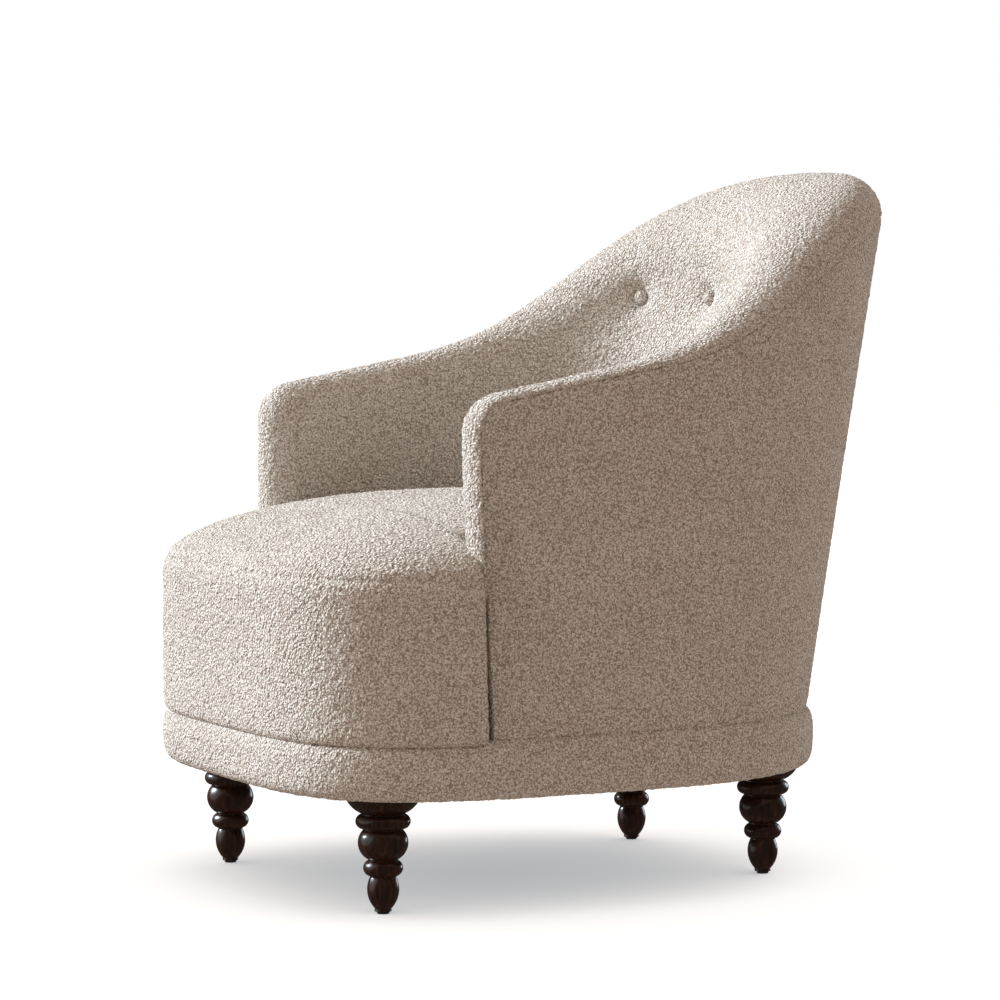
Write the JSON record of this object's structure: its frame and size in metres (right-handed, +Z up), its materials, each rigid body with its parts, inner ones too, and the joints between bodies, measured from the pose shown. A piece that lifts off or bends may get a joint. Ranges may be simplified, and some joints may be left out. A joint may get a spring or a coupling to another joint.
{
  "type": "upholstered armchair",
  "caption": "Barrel armchair with a rounded tufted back, low curved arms, tight domed seat, rolled base band and turned wooden legs.",
  "frame": {"origin": "on the floor, under the middle of the chair's overall width and depth", "axes": "+Z up, -Y towards the front of the chair, +X towards the sitter's left"},
  "size_m": [0.6561, 0.8644, 0.8524],
  "materials": {
    "boucle": "looped ivory boucle, matt",
    "foam": "open-cell upholstery foam and wadding",
    "frame_timber": "sawn, unfinished",
    "stained_wood": "dark walnut stain, satin varnish",
    "steel": "bright zinc",
    "webbing": "woven jute",
    "lining": "black non-woven cloth",
    "panel_board": "board faced with wadding",
    "plastic": "black, moulded",
    "twine": "waxed cord"
  },
  "bodies": {
    "root": {"arm_foam_left": "foam", "arm_foam_right": "foam", "arm_front_pad_left": "foam", "arm_front_pad_right": "foam", "arm_post_left": "frame_timber", "arm_post_right": "frame_timber", "arm_rail_left": "frame_timber", "arm_rail_right": "frame_timber", "back_buttons": "boucle", "back_foam": "foam", "back_post_left": "frame_timber", "back_post_right": "frame_timber", "back_slats": "frame_timber", "back_top_rail": "frame_timber", "back_webbing": "webbing", "base_band_cover": "boucle", "base_band_foam": "foam", "base_rail_back": "frame_timber", "base_rail_front": "frame_timber", "base_rail_left": "frame_timber", "base_rail_right": "frame_timber", "base_stretcher": "frame_timber", "button_toggles": "plastic", "button_twines": "twine", "dust_cover": "lining", "foot_glides": "plastic", "front_apron": "frame_timber", "inside_cover": "boucle", "leg_back_left": "stained_wood", "leg_back_right": "stained_wood", "leg_blocks": "frame_timber", "leg_bolts": "steel", "leg_front_left": "stained_wood", "leg_front_right": "stained_wood", "leg_plate_screws": "steel", "leg_plates": "steel", "outside_cover": "boucle", "outside_panel": "panel_board", "seat_border_cover": "boucle", "seat_border_foam": "foam", "seat_foam": "foam", "seat_rail_back": "frame_timber", "seat_rail_front": "frame_timber", "seat_rail_left": "frame_timber", "seat_rail_right": "frame_timber", "seat_springs": "steel", "seat_top_cover": "boucle", "spring_clips": "steel", "spring_deck_cloth": "lining", "spring_tie_wires": "steel"}
  },
  "joints": []
}
